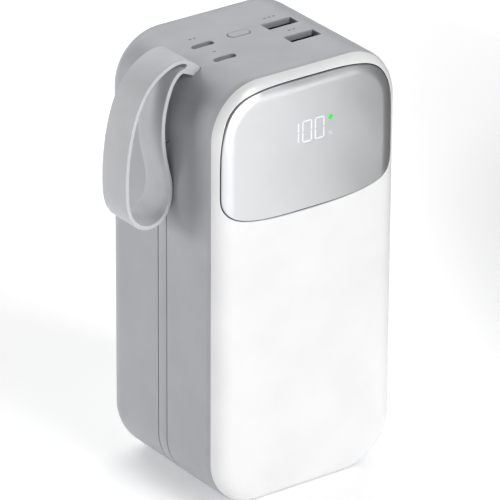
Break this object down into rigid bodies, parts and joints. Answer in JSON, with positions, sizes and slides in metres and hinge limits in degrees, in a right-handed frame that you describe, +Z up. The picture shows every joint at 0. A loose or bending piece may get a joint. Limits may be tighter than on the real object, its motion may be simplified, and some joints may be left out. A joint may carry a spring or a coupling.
{
  "type": "power bank",
  "caption": "Upright rounded power bank with a white front, a mirrored display window, top sockets and button, and a looped wrist strap.",
  "frame": {"origin": "centre of the case's flat base, midway between its sides and between its front and back", "axes": "+Z up along the case's height, the front panel and display face -Y, the strap hangs on the -X side"},
  "size_m": [0.0983, 0.0684, 0.1653],
  "materials": {
    "shell_plastic": "fine satin, warm grey moulded plastic",
    "panel_plastic": "smooth white moulded plastic",
    "window": "silver half-mirror acrylic",
    "gasket": "black foam tape",
    "silicone": "matt moulded silicone rubber",
    "black_plastic": "black moulded plastic",
    "chassis_plastic": "dark glass-filled plastic",
    "steel": "plated steel",
    "copper": "gold plated copper",
    "circuit_board": "green circuit board",
    "cell_foil": "laminated cell pouch",
    "foam": "closed-cell foam pad",
    "led_green": "green diffused light",
    "led_white": "white diffused light",
    "wire_red": "red silicone wire cover",
    "wire_black": "black silicone wire cover",
    "ferrite": "ferrite block",
    "capacitor_can": "drawn aluminium can"
  },
  "bodies": {
    "case": {"main_shell": "shell_plastic", "trim_band": "shell_plastic", "anchor_cover": "shell_plastic", "front_panel": "panel_plastic", "display_window": "window", "window_gasket": "gasket", "display_board": "circuit_board", "digit_module": "black_plastic", "charge_light": "led_green", "percent_light": "led_white", "display_screws": "steel", "chassis": "chassis_plastic", "cell_cover": "chassis_plastic", "cover_screws": "steel", "cell_pads": "foam", "base_pad": "foam", "cell_tabs": "steel", "protection_board": "circuit_board", "main_board": "circuit_board", "board_screws": "steel", "inductors": "ferrite", "capacitors": "capacitor_can", "chips": "black_plastic", "tactile_switch": "black_plastic", "positive_lead": "wire_red", "negative_lead": "wire_black", "display_socket": "black_plastic", "board_socket": "black_plastic", "display_ribbon": "copper", "strap_root": "silicone", "strap_pin": "steel", "strap_bracket": "black_plastic", "bracket_screw": "steel", "cell_1": "cell_foil", "cell_2": "cell_foil", "cell_3": "cell_foil", "cell_4": "cell_foil", "cell_5": "cell_foil", "usb_a_back_shell": "steel", "usb_a_back_tongue": "black_plastic", "usb_a_back_contacts": "copper", "usb_a_front_shell": "steel", "usb_a_front_tongue": "black_plastic", "usb_a_front_contacts": "copper", "usb_c_back_shell": "steel", "usb_c_back_tongue": "black_plastic", "usb_c_back_contacts": "copper", "usb_c_front_shell": "steel", "usb_c_front_tongue": "black_plastic", "usb_c_front_contacts": "copper"},
    "button": {"power_button": "shell_plastic", "switch_plunger": "black_plastic"},
    "strap": {"strap_loop": "silicone"}
  },
  "joints": [
    {"name": "button_press", "type": "slide", "parent": "case", "child": "button", "axis": [0, 0, -1], "range_m": [0, 0.0006], "stiffness_N_per_m": 1500, "springref_m": -0.0003},
    {"name": "strap_swing", "type": "hinge", "parent": "case", "child": "strap", "pos_m": [-0.03053, -0.0018, 0.16084], "axis": [0, 1, 0], "range_deg": [0, 75]}
  ]
}
